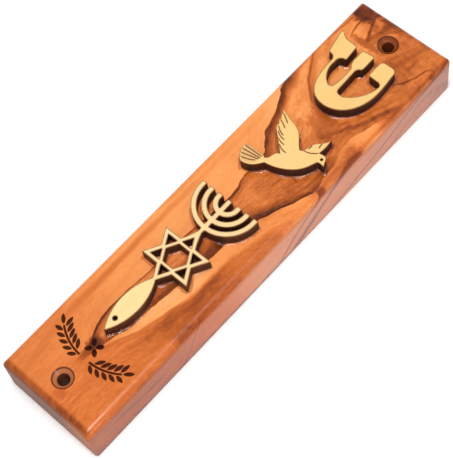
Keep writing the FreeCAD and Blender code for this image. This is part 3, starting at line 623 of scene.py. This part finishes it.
def olive_case():
    """Varnished olive wood of the case."""
    m = Material("olive_wood")
    tone, fibres, lines, deep = case_tone(m)
    pores = pores_of(m)
    tone = tone + pores * 0.1
    colour = m.ramp(tone, WOOD_TONES)

    reddish = m.noise(m.place, (4.0, 12.0, 4.0), seed=9).step(0.1, 1.2)
    colour = m.tinted(reddish * 0.3, colour, REDDER)
    colour = m.tinted(deep * 0.6, colour, DEEPER)
    stain = oval(m, m.x, *STAIN) + m.noise(m.place, (0.8, 0.8, 0.8), seed=10) * 0.3
    colour = m.mix(stain.step(1.1, 0.3) * 0.5, colour, display(190, 80, 45))

    side = right_side(m)
    lower_side = side * m.y.step(-5.0, -25.0)
    colour = m.tinted(lower_side, colour, WARMER)
    colour = m.mix(side * tone.step(0.76, 0.92) * 0.85, colour, display(160, 70, 36))

    end = abs(m.split(m.normal)[1]).step(*END_NORMAL)
    # partly painted shade: the end faces are darkened and greyed, most on the left, and their right part is
    # kept more orange; the end grain is darker itself too
    colour = m.tinted(end * (0.8 - m.x.step(0.0, 15.0) * 0.7), colour, END_GRAIN_AND_SHADE_TINT)
    colour = m.mix(end * m.x.step(3.0, 15.0) * 0.5, colour, display(222, 128, 70))

    hole, radius = screw_holes(m)
    colour = hole_colour(m, colour, hole, radius)
    burn = sprig_burn(m)
    colour = m.mix(burn * 0.93, colour, display(58, 27, 20))
    colour = m.mix(sprig_scorch(m) * 0.6, colour, display(110, 55, 32))

    gloss = 1.0 - end * 0.5 - burn * 0.8 - hole * 0.3
    patchy = m.noise(m.place, (0.7, 0.7, 0.7), seed=12).step(-0.6, 0.3) * 0.7
    right_round = m.x.step(13.4, 14.2) * m.z.step(10.5, 13.0)
    worn = right_round * m.y.step(-69.5, -62.0).math("MAXIMUM", patchy)
    swell = m.noise(m.place, (3.0, 5.0, 3.0), seed=11)
    height = fibres * 0.5 + lines * 0.3 - pores * 1.2 + swell * 1.5
    return m.principled(
        Base_Color=colour,
        Roughness=0.42 + end * 0.2 + burn * 0.3 + fibres * 0.03,
        Specular_IOR_Level=0.0,
        Coat_Weight=gloss * (1.0 - worn * 0.35) * (1.0 - lower_side * 0.25),
        Coat_Roughness=0.12 + end * 0.2 + worn * 0.3 + hole * 0.16 + fibres * 0.02,
        Normal=m.bump(height, 0.012),
    )


COVER_TONE = 0.27
COVER_VEIN = 3.0             # place of the cover's one vein, across it at its middle
COVER_VEIN_SLANT = 0.03
COVER_VEIN_WIDTH = 1.6


def olive_cover():
    """Sanded and oiled olive wood of the back cover, cut from plainer wood."""
    m = Material("olive_wood_cover")
    wobble = m.noise(m.place, (8.0, 26.0, 8.0), seed=21) * 1.4
    flow = m.join(m.x + m.z * 0.6 + wobble, m.y, m.z)
    clouds, lines, fibres = streaks(m, flow)
    vein = abs(m.x + wobble * 1.6 - COVER_VEIN + m.y * COVER_VEIN_SLANT) / COVER_VEIN_WIDTH
    tone = COVER_TONE + clouds * 0.08 + lines * 0.07 + fibres * 0.03 + vein.step(1.0, 0.2) * 0.22
    pores = pores_of(m)
    colour = m.ramp(tone + pores * 0.16, WOOD_TONES)
    worn = m.edges(0.3)
    colour = m.mix(worn * 0.3, colour, display(235, 170, 115))
    return m.principled(
        Base_Color=colour,
        Roughness=0.55 + fibres * 0.05 + pores * 0.1,
        Specular_IOR_Level=0.4,
        Normal=m.bump(fibres * 0.8 + lines * 0.5 - pores * 1.5, 0.02),
    )


# ---------------------------------------------------------------- plywood, glue, scroll

DOVE_TAIL = (-5.6, 13.2, 3.4, 3.6)    # its darker oval: across and along, half width and half length
PLY_LAYER = 2.6                       # repeat of the layers in a cut wall
ENGRAVING = 0.42                      # depth below the upper face that no feather line reaches
CUT_DEPTH = (0.015, 0.05)             # where a wall starts and is full, below the upper face


def plywood():
    """Pale laser-cut plywood: cream faces, scorched rims, walls burnt almost black."""
    m = Material("plywood")
    warm = m.y.step(-40.0, 45.0)
    colour = m.mix(warm, display(253, 226, 160), display(252, 208, 132))
    grain = m.noise(m.place, (0.3, 7.0, 0.3), seed=31)
    bands = m.noise(m.place, (2.2, 16.0, 2.2), seed=32)
    flecks = m.noise(m.place, (0.12, 0.9, 0.12), seed=33, detail=1.0).step(1.0, 1.4)
    shade = (grain * 0.07 + bands * 0.1 + flecks * 0.16 + 0.06).clamped()
    colour = m.mix(shade, colour, display(205, 150, 84))
    blush = m.noise(m.place, (3.0, 5.0, 3.0), seed=35).step(0.0, 1.2)
    colour = m.mix(blush * 0.4, colour, display(252, 214, 160))
    tail = oval(m, m.x, *DOVE_TAIL) + grain * 0.1
    colour = m.mix(tail.step(1.15, 0.7) * 0.7, colour, display(226, 172, 114))

    # the menorah and the star are pinker than the fish
    menorah = m.y.step(-31.0, -27.0) * m.y.step(4.0, 2.0)
    colour = m.mix(menorah * 0.5, colour, display(253, 214, 166))
    # the dove's scorched rim is narrower than the others
    dove = m.y.step(9.0, 9.4) * m.y.step(32.0, 31.6)
    rim = m.edges(0.55 - dove * 0.3)
    colour = m.mix(rim, colour, display(104, 50, 26))

    below = PLY_TOP - m.z
    streak = m.noise(m.place, (0.3, 0.3, 2.6), seed=34)
    layer = (below * (math.tau / PLY_LAYER)).math("COSINE").step(-0.2, 0.2)
    lightness = (0.42 + streak * 0.4 - layer * 0.25 + below * 0.06 - warm * 0.25).clamped()
    char = m.mix(lightness, display(38, 15, 10), display(112, 58, 42))
    char = m.mix(below.step(ENGRAVING, ENGRAVING - 0.06), char, display(172, 110, 66))
    wall = below.step(*CUT_DEPTH)
    colour = m.mix(wall, colour, char)
    return m.principled(
        Base_Color=colour,
        Roughness=0.6 - wall * 0.08,
        Specular_IOR_Level=0.3,
        Normal=m.bump(grain * (1.0 - wall) * 0.6 + streak * wall * 1.5, 0.02),
    )


def see_through(m, tint, ior, roughness, milk, milkiness, bumps):
    """Ends a material with a clear glossy shader, turned to a milky one by a share from 0 to 1."""
    clear = m.add("ShaderNodeBsdfTransparent", {"Color": tint})[0]
    mirror = m.add("ShaderNodeBsdfGlossy", {"Roughness": roughness, "Normal": bumps})[0]
    share = m.add("ShaderNodeFresnel", {"IOR": ior, "Normal": bumps})[0]
    glass = m.add("ShaderNodeMixShader", {0: share, 1: clear, 2: mirror})[0]
    body = m.add("ShaderNodeBsdfPrincipled", {"Base Color": milk, "Roughness": 0.3, "Normal": bumps})[0]
    return m.finish(m.add("ShaderNodeMixShader", {0: milkiness, 1: glass, 2: body})[0])


def dried_glue():
    """Clear dried glue: glossy, see-through, a little milky in places."""
    m = Material("glue")
    cloud = m.noise(m.place, (0.5, 0.5, 0.5), seed=41).step(-0.2, 1.2)
    ripples = m.bump(m.noise(m.place, (0.4, 0.4, 0.4), seed=42), 0.025)
    return see_through(m, (0.9, 0.8, 0.66, 1.0), 1.55, 0.06 + cloud * 0.08,
                       (0.75, 0.6, 0.45, 1.0), cloud * 0.15, ripples)


SCROLL_LOW, SCROLL_HIGH = (corner.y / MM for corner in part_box("parchment_scroll"))
SCROLL_MIDDLE = (SCROLL_LOW + SCROLL_HIGH) / 2
SCROLL_HALF_LENGTH = (SCROLL_HIGH - SCROLL_LOW) / 2


def parchment():
    """Blank parchment: a creamy skin with faint fibres and darker edges."""
    m = Material("parchment")
    fibres = m.noise(m.place, (0.5, 0.7, 0.5), seed=51, detail=5.0)
    clouds = m.noise(m.place, (6.0, 9.0, 6.0), seed=52)
    shade = (0.2 + fibres * 0.12 + clouds * 0.2).clamped()
    colour = m.mix(shade, display(250, 236, 205), display(214, 186, 138))
    ends = abs(m.y - SCROLL_MIDDLE).step(SCROLL_HALF_LENGTH - 1.5, SCROLL_HALF_LENGTH + 0.2)
    colour = m.mix(ends * 0.4, colour, display(190, 152, 100))
    return m.principled(
        Base_Color=colour,
        Roughness=0.62 + fibres * 0.06,
        Subsurface_Weight=0.15,
        Subsurface_Scale=0.0006,
        Normal=m.bump(fibres, 0.02),
    )


def clear_film():
    """The thin clear plastic sleeve, with faint scuffs along it."""
    m = Material("clear_film")
    scuffs = m.noise(m.place, (0.4, 9.0, 0.4), seed=61).step(0.3, 1.2)
    waves = m.bump(m.noise(m.place, (1.5, 8.0, 1.5), seed=62), 0.05)
    return see_through(m, (0.96, 0.97, 0.98, 1.0), 1.5, 0.08 + scuffs * 0.25,
                       (0.85, 0.88, 0.9, 1.0), 0.05 + scuffs * 0.12, waves)


def paint(node, material):
    """Gives a carried CAD node its material."""
    for slot in frame["nodes"][node].material_slots:
        slot.material = material


# ---------------------------------------------------------------- glue beads

BEAD_STEP = 0.3 * MM          # distance between sections of a bead
BEAD_WIDTH = 0.7 * MM         # mean width on the wood
BEAD_HEIGHT = 0.34 * MM       # mean height up the plywood's wall
BEAD_SLOPE = 0.5              # 1 makes a bead's surface straight, less makes it hollow
BEAD_SINK = 0.03 * MM         # how far a bead reaches into the wood and the wall
BEAD_ARC = 5                  # faces across the hollow surface of a bead
BEAD_LEAST_SIZE = 0.35        # of the mean, where a bead is thinnest
BEAD_LEAST_LEAN = 0.4         # of the mean height for its width, where a bead is flattest
WELD = 1e-6                   # corners this near to each other are one


def foot_outlines(node):
    """Closed outlines of a glue film on the wood: for each, a list of (point, outward direction)."""
    mesh = bmesh.new()
    mesh.from_mesh(frame["nodes"][node].data)
    bmesh.ops.remove_doubles(mesh, verts=mesh.verts, dist=WELD)
    low = min(v.co.z for v in mesh.verts)
    outward = {}
    for edge in mesh.edges:
        walls = [f for f in edge.link_faces if abs(f.normal.z) < 0.5]
        if walls and all(abs(v.co.z - low) < WELD for v in edge.verts):
            outward[edge] = walls[0].normal.copy()
    loops = []
    while outward:
        edge, normal = outward.popitem()
        start, here = edge.verts
        loop = [(start.co.copy(), here.co.copy(), normal)]
        while here is not start:
            edge = next(e for e in here.link_edges if e in outward)
            normal = outward.pop(edge)
            there = edge.other_vert(here)
            loop.append((here.co.copy(), there.co.copy(), normal))
            here = there
        loops.append(loop)
    mesh.free()
    return [bead_stations(loop) for loop in loops]


def bead_stations(loop):
    """Evenly spaced (point, outward direction) pairs round one outline."""
    normals = column(loop, 2)
    corners = [(normal + normals[number - 1]).normalized() for number, normal in enumerate(normals)]
    stations = []
    for number, (start, end, normal) in enumerate(loop):
        pieces = max(1, round((end - start).length / BEAD_STEP))
        for piece in range(pieces):
            share = piece / pieces
            direction = corners[number].lerp(corners[(number + 1) % len(loop)], share)
            if piece:
                direction = direction.lerp(normal, 0.5)
            stations.append((start.lerp(end, share), direction.normalized()))
    return stations


def bead_section(point, outward):
    """One section of a bead: a hollow arc from the wood up the wall, closed inside the corner."""
    drops = noise.noise(point / (1.7 * MM)) * 0.5
    ripples = noise.noise(point / (0.5 * MM) + Vector((9, 0, 0))) * 0.25
    size = max(BEAD_LEAST_SIZE, 1.0 + (drops + ripples))
    lean = max(BEAD_LEAST_LEAN, 1.0 + noise.noise(point / (1.1 * MM) + Vector((0, 7, 0))) * 0.6)
    width = BEAD_WIDTH * size
    height = BEAD_HEIGHT * size * lean
    up = Vector((0, 0, 1))
    section = [point - outward * BEAD_SINK - up * BEAD_SINK, point + outward * width - up * BEAD_SINK]
    for step in range(BEAD_ARC + 1):
        share = step / BEAD_ARC
        out = width * (1 - share)
        rise = height * (BEAD_SLOPE * share + (1 - BEAD_SLOPE) * share ** 3)
        section.append(point + outward * out + up * rise)
    section.append(point - outward * BEAD_SINK + up * height)
    return section


def glue_bead(node, name, material):
    """The bead of glue squeezed out round the foot of one plywood piece."""
    mesh = bmesh.new()
    for stations in foot_outlines(node):
        rings = []
        for point, outward in stations:
            rings.append([mesh.verts.new(corner) for corner in bead_section(point, outward)])
        for number, ring in enumerate(rings):
            following = rings[(number + 1) % len(rings)]
            for side in range(len(ring)):
                after = (side + 1) % len(ring)
                mesh.faces.new((ring[side], ring[after], following[after], following[side]))
    bmesh.ops.recalc_face_normals(mesh, faces=mesh.faces)
    data = bpy.data.meshes.new(name)
    mesh.to_mesh(data)
    mesh.free()
    data.shade_smooth()
    data.materials.append(material)
    bead = bpy.data.objects.new(name, data)
    bpy.context.scene.collection.objects.link(bead)
    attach(bead, "case")


# ---------------------------------------------------------------- studio

FLOOR_HALF = 3.0              # half the table's width
FLOOR_DROP = -0.0002          # its height, just below the back face
ROOM_LIGHT = 0.42
# Lights: name, place, size and watts.
LIGHTS = [
    ("softbox", (0.1, -0.1, 1.0), 0.5, 6.4),
    ("lamp", (0.06, -0.06, 1.0), 0.08, 2.2),
    ("right", (0.83, 0.04, 0.35), 0.13, 0.8),
]
CAMERA_PLACE = (0.1427, -0.1119, 0.3535)
CAMERA_VIEW = (-0.3656, 0.2760, -0.8889)    # the direction that it looks in
CAMERA_UP = (-0.5692, 0.6894, 0.4481)       # about the direction of its upper side
CAMERA_LENS = 112.8                         # mm
CAMERA_SENSOR = 36.0                        # mm
CAMERA_NEAR = 0.01                          # nearest distance that it shows


def make_floor():
    """A plain, nearly white table."""
    m = Material("floor_paper")
    speckle = m.noise(m.place, (1.2, 1.2, 1.2), seed=71)
    material = m.principled(
        Base_Color=m.mix(speckle.step(-1.0, 1.0), (0.94, 0.94, 0.94, 1.0), (0.97, 0.97, 0.97, 1.0)),
        Roughness=0.9,
        Specular_IOR_Level=0.1,
    )
    signs = [(-1, -1), (1, -1), (1, 1), (-1, 1)]
    corners = [(x * FLOOR_HALF, y * FLOOR_HALF, FLOOR_DROP) for x, y in signs]
    data = bpy.data.meshes.new("floor")
    data.from_pydata(corners, [], [(0, 1, 2, 3)])
    data.materials.append(material)
    floor = bpy.data.objects.new("floor", data)
    bpy.context.scene.collection.objects.link(floor)


def make_light(name, place, size, watts):
    """A square soft light at a place, aimed at the case."""
    data = bpy.data.lights.new(name, "AREA")
    data.size = size
    data.energy = watts
    light = bpy.data.objects.new(name, data)
    light.location = place
    light.rotation_euler = (CASE_CENTRE - Vector(place)).to_track_quat("-Z", "Y").to_euler()
    bpy.context.scene.collection.objects.link(light)


def make_studio():
    """A pale room, a softbox and a small lamp overhead, and a weaker light on the right."""
    world = bpy.data.worlds.new("room")
    world.use_nodes = True
    background = world.node_tree.nodes["Background"]
    background.inputs["Color"].default_value = (1.0, 1.0, 1.0, 1.0)
    background.inputs["Strength"].default_value = ROOM_LIGHT
    bpy.context.scene.world = world
    for light in LIGHTS:
        make_light(*light)
    bpy.context.scene.view_settings.view_transform = "Standard"


def make_camera():
    """The camera, above the lower right corner, turned a little."""
    view = Vector(CAMERA_VIEW).normalized()
    up = Vector(CAMERA_UP)
    up = (up - view * up.dot(view)).normalized()
    right = view.cross(up)
    data = bpy.data.cameras.new("camera")
    data.lens = CAMERA_LENS
    data.sensor_width = CAMERA_SENSOR
    data.clip_start = CAMERA_NEAR
    camera = bpy.data.objects.new("camera", data)
    turn = Matrix((right, up, -view)).transposed().to_4x4()
    camera.matrix_world = Matrix.Translation(Vector(CAMERA_PLACE)) @ turn
    bpy.context.scene.collection.objects.link(camera)
    bpy.context.scene.camera = camera


# ---------------------------------------------------------------- the scene

make_camera()
make_studio()
make_floor()

ply = plywood()
glue = dried_glue()
paint("case_body", olive_case())
paint("back_cover", olive_cover())
for piece in ("shin_letter", "dove", "menorah_star_fish"):
    paint(piece, ply)
for piece in ("shin_glue", "dove_glue", "seal_glue"):
    paint(piece, glue)
    glue_bead(piece, piece + "_bead", glue)
paint("parchment_scroll", parchment())
paint("scroll_sleeve", clear_film())
